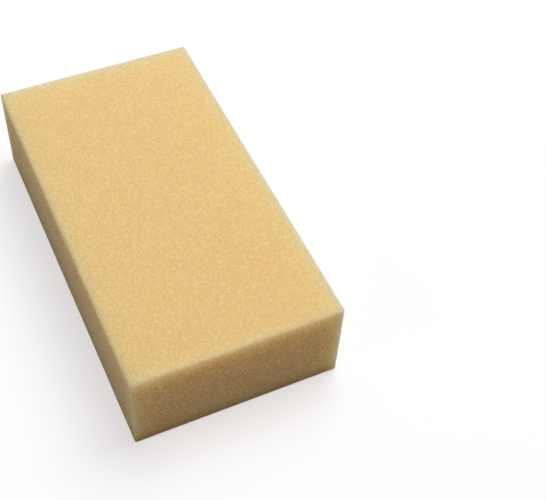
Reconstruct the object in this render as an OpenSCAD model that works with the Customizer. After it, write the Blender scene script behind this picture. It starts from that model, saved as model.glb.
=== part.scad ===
// Cleaning sponge: a plain rectangular block, cut from one piece of fine open-cell foam.
// The origin is the middle of the bottom face. Z is up, Y runs along the length, X across it.

/* [Block] */
// Length of the block, end face to end face
block_length = 200; // [90:1:300]
// Width of the block, side face to side face
block_width = 106; // [50:1:200]
// Thickness of the block, bottom face to top face
block_height = 50; // [20:1:100]

/* [Cut edges] */
// Radius that the cut leaves along the edges round the top and the bottom face
face_edge_r = 1.4; // [0.4:0.1:5]
// Radius that the cut leaves along the four upright edges
upright_edge_r = 1.4; // [0.4:0.1:5]

/* [Look] */
// Colour of the foam
foam_color = "#E9C98C"; // [#E9C98C:Tan, #F2DE6B:Yellow, #C9CDD2:Grey]

/* [Hidden] */
$fn = 48;

// A rectangle about the origin with its four corners rounded to true arcs
module rounded_outline(across, along, r) {
    square([across - 2 * r, along], center = true);
    square([across, along - 2 * r], center = true);
    for (x = [-1, 1], y = [-1, 1])
        translate([x * (across / 2 - r), y * (along / 2 - r)])
            circle(r);
}

// The block as seen from above, which rounds the upright edges
module plan_prism() {
    linear_extrude(block_height)
        rounded_outline(block_width, block_length, upright_edge_r);
}

// The block as seen from an end, which rounds the long edges of the top and bottom faces
module end_prism() {
    translate([0, block_length / 2, block_height / 2])
        rotate([90, 0, 0])
            linear_extrude(block_length)
                rounded_outline(block_width, block_height, face_edge_r);
}

// The block as seen from a side, which rounds the short edges of the top and bottom faces
module side_prism() {
    translate([-block_width / 2, 0, block_height / 2])
        rotate([90, 0, 90])
            linear_extrude(block_width)
                rounded_outline(block_length, block_height, face_edge_r);
}

// One solid piece of foam: what the three cuts leave in common
module foam_block() {
    color(foam_color)
        intersection() {
            plan_prism();
            end_prism();
            side_prism();
        }
}

foam_block();
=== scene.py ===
import math

import bpy
from mathutils import Euler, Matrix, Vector


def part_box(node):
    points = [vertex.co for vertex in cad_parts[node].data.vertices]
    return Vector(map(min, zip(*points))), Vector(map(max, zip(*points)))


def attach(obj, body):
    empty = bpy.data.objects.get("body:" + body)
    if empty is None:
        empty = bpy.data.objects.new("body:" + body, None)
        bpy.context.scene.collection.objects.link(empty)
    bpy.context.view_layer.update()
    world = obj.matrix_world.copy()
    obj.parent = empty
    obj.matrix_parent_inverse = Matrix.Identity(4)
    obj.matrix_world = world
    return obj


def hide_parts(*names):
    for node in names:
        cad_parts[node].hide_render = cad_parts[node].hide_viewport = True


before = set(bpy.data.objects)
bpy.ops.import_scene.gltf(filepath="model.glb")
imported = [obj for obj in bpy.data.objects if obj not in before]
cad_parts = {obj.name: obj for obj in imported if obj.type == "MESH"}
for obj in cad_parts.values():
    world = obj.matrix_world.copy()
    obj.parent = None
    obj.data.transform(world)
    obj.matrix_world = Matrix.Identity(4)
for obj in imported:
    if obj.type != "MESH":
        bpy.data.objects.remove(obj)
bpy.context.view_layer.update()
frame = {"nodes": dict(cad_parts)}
print("frame loaded:", ", ".join(frame["nodes"]))


# Node trees

class Wire:
    # an output socket; arithmetic on wires adds Math nodes to their tree
    def __init__(self, graph, socket):
        self.graph = graph
        self.socket = socket

    def output(self, name):
        return Wire(self.graph, self.socket.node.outputs[name])

    def __add__(self, other):
        return self.graph.math("ADD", self, other)

    def __radd__(self, other):
        return self.graph.math("ADD", other, self)

    def __sub__(self, other):
        return self.graph.math("SUBTRACT", self, other)

    def __rsub__(self, other):
        return self.graph.math("SUBTRACT", other, self)

    def __mul__(self, other):
        return self.graph.math("MULTIPLY", self, other)

    def __rmul__(self, other):
        return self.graph.math("MULTIPLY", other, self)

    def __truediv__(self, other):
        return self.graph.math("DIVIDE", self, other)

    def __rtruediv__(self, other):
        return self.graph.math("DIVIDE", other, self)


class Graph:
    # builds one node tree, of a material, a world or a modifier
    def __init__(self, tree):
        self.tree = tree

    def add(self, kind, settings, sockets, out=0):
        node = self.tree.nodes.new(kind)
        for name, value in settings.items():
            setattr(node, name, value)
        for name, value in sockets.items():
            self.plug(node.inputs[name], value)
        return Wire(self, node.outputs[out]) if len(node.outputs) else node

    def plug(self, socket, value):
        if isinstance(value, Wire):
            self.tree.links.new(value.socket, socket)
        else:
            socket.default_value = value

    def math(self, operation, *values):
        return self.add("ShaderNodeMath", {"operation": operation}, dict(enumerate(values)))

    def vector(self, operation, *values):
        return self.add("ShaderNodeVectorMath", {"operation": operation}, dict(enumerate(values)))

    def split(self, vector):
        parts = self.add("ShaderNodeSeparateXYZ", {}, {0: vector})
        return [parts.output(axis) for axis in "XYZ"]

    def join(self, parts):
        return self.add("ShaderNodeCombineXYZ", {}, dict(enumerate(parts)))

    def remap(self, value, low, high, start=0.0, end=1.0):
        return self.add(
            "ShaderNodeMapRange", {"interpolation_type": "SMOOTHSTEP"},
            {"Value": value, "From Min": low, "From Max": high, "To Min": start, "To Max": end})

    def mixColour(self, amount, first, second, blend="MIX"):
        return self.add(
            "ShaderNodeMix", {"data_type": "RGBA", "blend_type": blend, "clamp_factor": True},
            {0: amount, 6: first, 7: second}, out=2)


def newMaterial(name):
    material = bpy.data.materials.new(name)
    material.use_nodes = True
    material.node_tree.nodes.clear()
    return material, Graph(material.node_tree)


# Foam block: the mesh

low, high = (Vector(corner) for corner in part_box("foam_block"))
blockSize = high - low

# metres, apart from the seed, the details, the roughness and the face level
blockForm = {
    "Width": blockSize.x,
    "Length": blockSize.y,
    "Height": blockSize.z,
    "Face edge radius": 0.0014,      # round the top and the bottom face
    "Upright edge radius": 0.0014,
    "Grid spacing": 0.00088,
    "Cell size": 0.0019,             # of the roughness that the cut leaves
    "Cell depth": 0.00016,
    "Cell detail": 2.0,
    "Cell roughness": 0.6,
    "Wave size": 0.032,              # of the slow waves in the cut
    "Wave depth": 0.00012,
    "Wave detail": 1.0,
    "Face level": 0.25,              # noise of this value stays on the plain block, and higher noise goes in
    "Seed": 7.0,
}


def foamBlockTree(material):
    tree = bpy.data.node_groups.new("foamBlockTree", "GeometryNodeTree")
    graph = Graph(tree)
    for name in blockForm:
        tree.interface.new_socket(name, in_out="INPUT", socket_type="NodeSocketFloat")
    tree.interface.new_socket("Geometry", in_out="OUTPUT", socket_type="NodeSocketGeometry")
    inputs = graph.add("NodeGroupInput", {}, {})
    value = {name: inputs.output(name) for name in blockForm}

    def verticesAlong(length):
        return graph.add(
            "FunctionNodeFloatToInt", {"rounding_mode": "CEILING"},
            {0: length / value["Grid spacing"] + 1.0})

    sizes = [value["Width"], value["Length"], value["Height"]]
    halves = [size * 0.5 for size in sizes]
    grid = graph.add(
        "GeometryNodeMeshCube", {},
        {"Size": graph.join(sizes), "Vertices X": verticesAlong(sizes[0]),
         "Vertices Y": verticesAlong(sizes[1]), "Vertices Z": verticesAlong(sizes[2])})

    # each pair of axes in turn has its four corners pulled in to an arc
    place = graph.split(graph.add("GeometryNodeInputPosition", {}, {}))
    rounding = [(0, 1, "Upright edge radius"), (0, 2, "Face edge radius"), (1, 2, "Face edge radius")]
    leastReach = 1e-6     # keeps the radius from being divided by zero where nothing is pulled in
    for a, b, radiusName in rounding:
        radius = value[radiusName]
        over = {}
        for axis in (a, b):
            size = graph.math("ABSOLUTE", place[axis])
            over[axis] = graph.math("MAXIMUM", size - (halves[axis] - radius), 0.0)
        reach = graph.math("SQRT", over[a] * over[a] + over[b] * over[b])
        shrink = graph.math("MINIMUM", radius / graph.math("MAXIMUM", reach, leastReach), 1.0)
        for axis in (a, b):
            pull = over[axis] * (1.0 - shrink)
            place[axis] = place[axis] - graph.math("SIGN", place[axis]) * pull
    rounded = graph.add(
        "GeometryNodeSetPosition", {}, {"Geometry": grid, "Position": graph.join(place)})

    # the knife leaves slow waves, and open cells that are a little lower than their walls
    here = graph.add("GeometryNodeInputPosition", {}, {})
    shifted = graph.vector("ADD", here, graph.join([value["Seed"], 0.0, 0.0]))
    cells = graph.add(
        "ShaderNodeTexNoise", {"noise_dimensions": "3D"},
        {"Vector": shifted, "Scale": 1.0 / value["Cell size"],
         "Detail": value["Cell detail"], "Roughness": value["Cell roughness"]})
    waves = graph.add(
        "ShaderNodeTexNoise", {"noise_dimensions": "3D"},
        {"Vector": shifted, "Scale": 1.0 / value["Wave size"], "Detail": value["Wave detail"]})
    cellDepth = (cells - value["Face level"]) * value["Cell depth"]
    waveDepth = (waves - value["Face level"]) * value["Wave depth"]
    inward = graph.add(
        "ShaderNodeVectorMath", {"operation": "SCALE"},
        {0: graph.add("GeometryNodeInputNormal", {}, {}), "Scale": 0.0 - (cellDepth + waveDepth)})
    cut = graph.add("GeometryNodeSetPosition", {}, {"Geometry": rounded, "Offset": inward})
    raised = graph.add(
        "GeometryNodeTransform", {},
        {"Geometry": cut, "Translation": graph.join([0.0, 0.0, halves[2]])})
    smooth = graph.add("GeometryNodeSetShadeSmooth", {}, {"Geometry": raised})
    whole = graph.add("GeometryNodeRealizeInstances", {}, {"Geometry": smooth})
    dressed = graph.add("GeometryNodeSetMaterial", {}, {"Geometry": whole, "Material": material})
    graph.add("NodeGroupOutput", {}, {"Geometry": dressed})
    return tree


def makeFoamBlock(material):
    tree = foamBlockTree(material)
    maker = bpy.data.objects.new("foamBlockMaker", bpy.data.meshes.new("foamBlockMaker"))
    bpy.context.scene.collection.objects.link(maker)
    modifier = maker.modifiers.new("foamBlock", "NODES")
    modifier.node_group = tree
    for item in tree.interface.items_tree:
        if item.in_out == "INPUT":
            modifier[item.identifier] = blockForm[item.name]
    ready = maker.evaluated_get(bpy.context.evaluated_depsgraph_get())
    mesh = bpy.data.meshes.new_from_object(ready)
    mesh.name = "foamBlock"
    maker.modifiers.remove(modifier)
    bpy.data.objects.remove(maker)
    block = bpy.data.objects.new("foamBlock", mesh)
    bpy.context.scene.collection.objects.link(block)
    return block


# Foam block: the finish

foamLook = {
    "body": (0.790, 0.560, 0.245, 1.0),      # the foam seen square on
    "paintedEdgeLight": (0.995, 0.655, 0.315, 1.0),       # painted edge highlight: paler near a cut edge, standing in for light that leaves the foam early there
    "paintedFootBounce": (0.970, 0.550, 0.130, 1.0),      # painted warm bounce at the lowest edges, taking the place of the highlight, deeper in colour
    "footHeight": (0.003, 0.012),            # the painted edge colour is all foot bounce below the first, all rim highlight above the other
    "rimReach": 0.0035,
    "rimAtEnds": 1.0,                        # the painted highlight in full round the two ends
    "rimAtSides": 0.30,                      # along the two long sides
    "rimFade": 0.004,                        # one turns into the other this far each way of a corner
    "wallLight": (1.24, 1.39, 1.63, 1.0),         # times the colour, painted light where a thin cell wall lets light through, over the foam's own cell pattern
    "pitShade": (0.74, 0.61, 0.42, 1.0),          # times the colour, painted shade in the depth of an open cell, over the foam's own cell pattern
    "cellSize": 0.00112,
    "cellShare": (0.67, 0.09),               # of the grain, by how near the wall and how deep the cell is
    "fineCellSize": 0.00054,
    "fineCellShare": (0.25, 0.17),
    "cellStretch": 1.4,                      # how much taller than wide the cells are, as the foam rose
    "cellDisorder": 0.95,
    "grainRange": (0.08, 1.06),              # the grain is all pit shade below the first, all wall light above the other
    "grainOnTop": 0.37,                      # and on the bottom
    "grainOnEnds": 0.71,                     # painted relief shade: more grain where the low light would bring the cells out
    "grainOnSides": 0.78,
    "grainUnderRim": 0.20,                   # share of the grain of an end or a side that its painted edge highlight leaves
    "faceFade": 0.0005,                      # the grain of one face turns into the next this far each way
    "bumpDepth": 0.0003,
    "roughness": 0.95,
    "specular": 0.15,
    "softness": 1.0,                         # share of light that travels inside the foam
    "softDepth": 0.033,
    "softColour": (0.90, 0.90, 0.82),
}


def foamMaterial():
    look = foamLook
    material, graph = newMaterial("foam")
    coords = graph.add("ShaderNodeTexCoord", {}, {}).output("Object")
    centred = graph.add(
        "ShaderNodeMapping", {}, {"Vector": coords, "Location": (0.0, 0.0, -blockSize.z / 2)})
    risen = graph.add(
        "ShaderNodeMapping", {}, {"Vector": centred, "Scale": (1.0, 1.0, 1.0 / look["cellStretch"])})

    # a cell has painted shade in the middle and painted light at its walls, and each is open to its own
    # depth
    def cells(size, share):
        pattern = graph.add(
            "ShaderNodeTexVoronoi", {"feature": "F1"},
            {"Vector": risen, "Scale": 1.0 / size, "Randomness": look["cellDisorder"]})
        wallShare, depthShare = share
        depth = graph.split(pattern.output("Color"))[0]
        return pattern.output("Distance") * wallShare + depth * depthShare

    coarse = cells(look["cellSize"], look["cellShare"])
    grain = coarse + cells(look["fineCellSize"], look["fineCellShare"])

    # the distance to the nearest edge is the middle one of the distances to the faces
    place = graph.split(centred)
    across, along, up = (size / 2 - graph.math("ABSOLUTE", axis) for axis, size in zip(place, blockSize))
    nearest = graph.math("MINIMUM", graph.math("MINIMUM", across, along), up)
    farthest = graph.math("MAXIMUM", graph.math("MAXIMUM", across, along), up)
    toEdge = across + along + up - nearest - farthest
    # painted edge highlight: paler colour near each edge, fading over rimReach, fuller at the ends
    rimShare = graph.remap(
        along - graph.math("MAXIMUM", across, up), -look["rimFade"], look["rimFade"],
        look["rimAtEnds"], look["rimAtSides"])
    paintedEdgeLight = graph.math("EXPONENT", toEdge * (-1.0 / look["rimReach"])) * rimShare
    # near the bottom the painted highlight turns into the painted warm bounce
    start, end = (level - blockSize.z / 2 for level in look["footHeight"])
    paintedEdgeColour = graph.mixColour(graph.remap(place[2], start, end), look["paintedFootBounce"], look["paintedEdgeLight"])

    # a point is on the face that it is nearest to
    def onFace(distance, *others):
        nearer = graph.math("MINIMUM", *others) - distance
        return graph.remap(nearer, -look["faceFade"], look["faceFade"])

    onSide = onFace(across, along, up)
    onEnd = onFace(along, across, up)
    # the grain beyond that of the top is painted relief shade on the ends and sides
    paintedReliefOnSide = look["grainOnSides"] - look["grainOnTop"]
    paintedReliefOnEnd = look["grainOnEnds"] - look["grainOnTop"]
    underRim = 1.0 - (1.0 - look["grainUnderRim"]) * paintedEdgeLight * (onSide + onEnd)
    grainAmount = (look["grainOnTop"] + paintedReliefOnSide * onSide + paintedReliefOnEnd * onEnd) * underRim

    # the painted edge highlight laid over the body colour
    colour = graph.mixColour(paintedEdgeLight, look["body"], paintedEdgeColour)
    # painted cell shade and light, multiplied into the colour
    tint = graph.mixColour(graph.remap(grain, *look["grainRange"]), look["pitShade"], look["wallLight"])
    colour = graph.mixColour(grainAmount, colour, tint, blend="MULTIPLY")

    bump = graph.add(
        "ShaderNodeBump", {}, {"Height": grain, "Distance": look["bumpDepth"], "Strength": 1.0})
    skin = graph.add(
        "ShaderNodeBsdfPrincipled", {"subsurface_method": "RANDOM_WALK"},
        {"Base Color": colour, "Roughness": look["roughness"], "Specular IOR Level": look["specular"],
         "Normal": bump, "Subsurface Weight": look["softness"], "Subsurface Radius": look["softColour"],
         "Subsurface Scale": look["softDepth"]})
    graph.add("ShaderNodeOutputMaterial", {}, {"Surface": skin})
    return material


foam = foamMaterial()
block = makeFoamBlock(foam)
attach(block, "root")
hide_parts("foam_block")
print("foam block:", len(block.data.polygons), "faces")


# Floor, light and camera

stageLook = {
    "floorSize": 6.0,
    "floorGap": 0.0002,                        # below the block, so that no two faces lie in one plane
    "floorSeen": (1.0, 1.0, 1.0, 1.0),         # what the camera sees
    "floorBounce": (0.30, 0.30, 0.30, 1.0),    # what gives light back to the block
    "bounceUnder": (1.0, 0.75, 0.38, 1.0),     # the same right under it, which keeps its foot warm
    "floorGlow": 0.60,                         # share of the floor seen near the block that takes no shadow
    "glowReach": (0.25, 0.90),                 # the share is that within the first, and whole past the other
    "skyColour": (1.0, 1.0, 1.0, 1.0),
    "skyLevel": 0.10,                          # for the light it gives; the camera sees it in full
}

# soft lamps, each a square panel that faces the block
# angles in degrees; an azimuth of 0 is behind the block, and 90 is to its right
lampLook = {
    "keyLamp": {
        "level": 0.99, "colour": (1.0, 1.0, 1.0), "elevation": 67.0, "azimuth": 62.0,
        "distance": 2.0, "size": 1.5},
    "frontLamp": {
        "level": 0.122, "colour": (1.0, 0.69, 0.55), "elevation": 25.0, "azimuth": 170.0,
        "distance": 1.5, "size": 1.0},
    "sideLamp": {
        "level": 0.174, "colour": (0.98, 0.885, 1.0), "elevation": 25.0, "azimuth": 265.0,
        "distance": 1.5, "size": 1.0},
    "backLamp": {
        "level": 0.14, "colour": (1.0, 1.0, 1.0), "elevation": 18.0, "azimuth": 10.0,
        "distance": 1.5, "size": 1.0},
}


def floorMaterial():
    material, graph = newMaterial("floorPaint")
    toCamera = graph.add("ShaderNodeLightPath", {}, {}).output("Is Camera Ray")
    coords = graph.add("ShaderNodeTexCoord", {}, {}).output("Object")
    place = graph.split(coords)
    beyond = graph.math(
        "MAXIMUM", graph.math("ABSOLUTE", place[0]) - blockSize.x / 2,
        graph.math("ABSOLUTE", place[1]) - blockSize.y / 2)
    covered = graph.math("LESS_THAN", beyond, 0.0)
    bounce = graph.mixColour(covered, stageLook["floorBounce"], stageLook["bounceUnder"])
    colour = graph.mixColour(toCamera, bounce, stageLook["floorSeen"])
    paint = graph.add("ShaderNodeBsdfDiffuse", {}, {"Color": colour})
    glow = graph.add("ShaderNodeEmission", {}, {"Color": stageLook["floorSeen"], "Strength": 1.0})
    reach = graph.vector("LENGTH", coords).output("Value")
    share = toCamera * graph.remap(reach, *stageLook["glowReach"], stageLook["floorGlow"], 1.0)
    surface = graph.add("ShaderNodeMixShader", {}, {0: share, 1: paint, 2: glow})
    graph.add("ShaderNodeOutputMaterial", {}, {"Surface": surface})
    return material


def makeFloor():
    size = stageLook["floorSize"] / 2
    corners = [(-size, -size), (size, -size), (size, size), (-size, size)]
    mesh = bpy.data.meshes.new("floor")
    mesh.from_pydata([(x, y, -stageLook["floorGap"]) for x, y in corners], [], [(0, 1, 2, 3)])
    mesh.materials.append(floorMaterial())
    floor = bpy.data.objects.new("floor", mesh)
    bpy.context.scene.collection.objects.link(floor)


def makeSky():
    world = bpy.data.worlds.new("sky")
    world.use_nodes = True
    world.node_tree.nodes.clear()
    bpy.context.scene.world = world
    graph = Graph(world.node_tree)
    toCamera = graph.add("ShaderNodeLightPath", {}, {}).output("Is Camera Ray")
    level = stageLook["skyLevel"] + (1.0 - stageLook["skyLevel"]) * toCamera
    sky = graph.add("ShaderNodeBackground", {}, {"Color": stageLook["skyColour"], "Strength": level})
    graph.add("ShaderNodeOutputWorld", {}, {"Surface": sky})


def makeLamp(name, look):
    # level is what a white surface that faces the lamp would show
    lamp = bpy.data.lights.new(name, "AREA")
    lamp.size = look["size"]
    lamp.color = look["colour"]
    lamp.energy = look["level"] * (math.pi * look["distance"]) ** 2
    light = bpy.data.objects.new(name, lamp)
    rise = math.radians(look["elevation"])
    turn = math.radians(look["azimuth"])
    flat = math.cos(rise)
    towards = Vector((flat * math.sin(turn), flat * math.cos(turn), math.sin(rise)))
    light.rotation_euler = towards.to_track_quat("Z", "Y").to_euler()
    light.location = towards * look["distance"]
    bpy.context.scene.collection.objects.link(light)


photoCamera = {
    "place": (-0.1211, -0.3489, 0.4604),
    "turn": (39.071, -2.707, -24.877),     # degrees
    "lens": 72.46,                         # mm
    "film": 36.0,                          # its width, mm
    "near": 0.01,                          # nothing nearer than this is drawn
}


def makeCamera():
    data = bpy.data.cameras.new("photoCamera")
    data.lens = photoCamera["lens"]
    data.sensor_width = photoCamera["film"]
    data.clip_start = photoCamera["near"]
    camera = bpy.data.objects.new("photoCamera", data)
    camera.location = photoCamera["place"]
    camera.rotation_euler = Euler([math.radians(angle) for angle in photoCamera["turn"]])
    bpy.context.scene.collection.objects.link(camera)
    bpy.context.scene.camera = camera


makeFloor()
makeSky()
for name, look in lampLook.items():
    makeLamp(name, look)
makeCamera()
bpy.context.scene.view_settings.view_transform = "Standard"
print("stage, light and camera set")
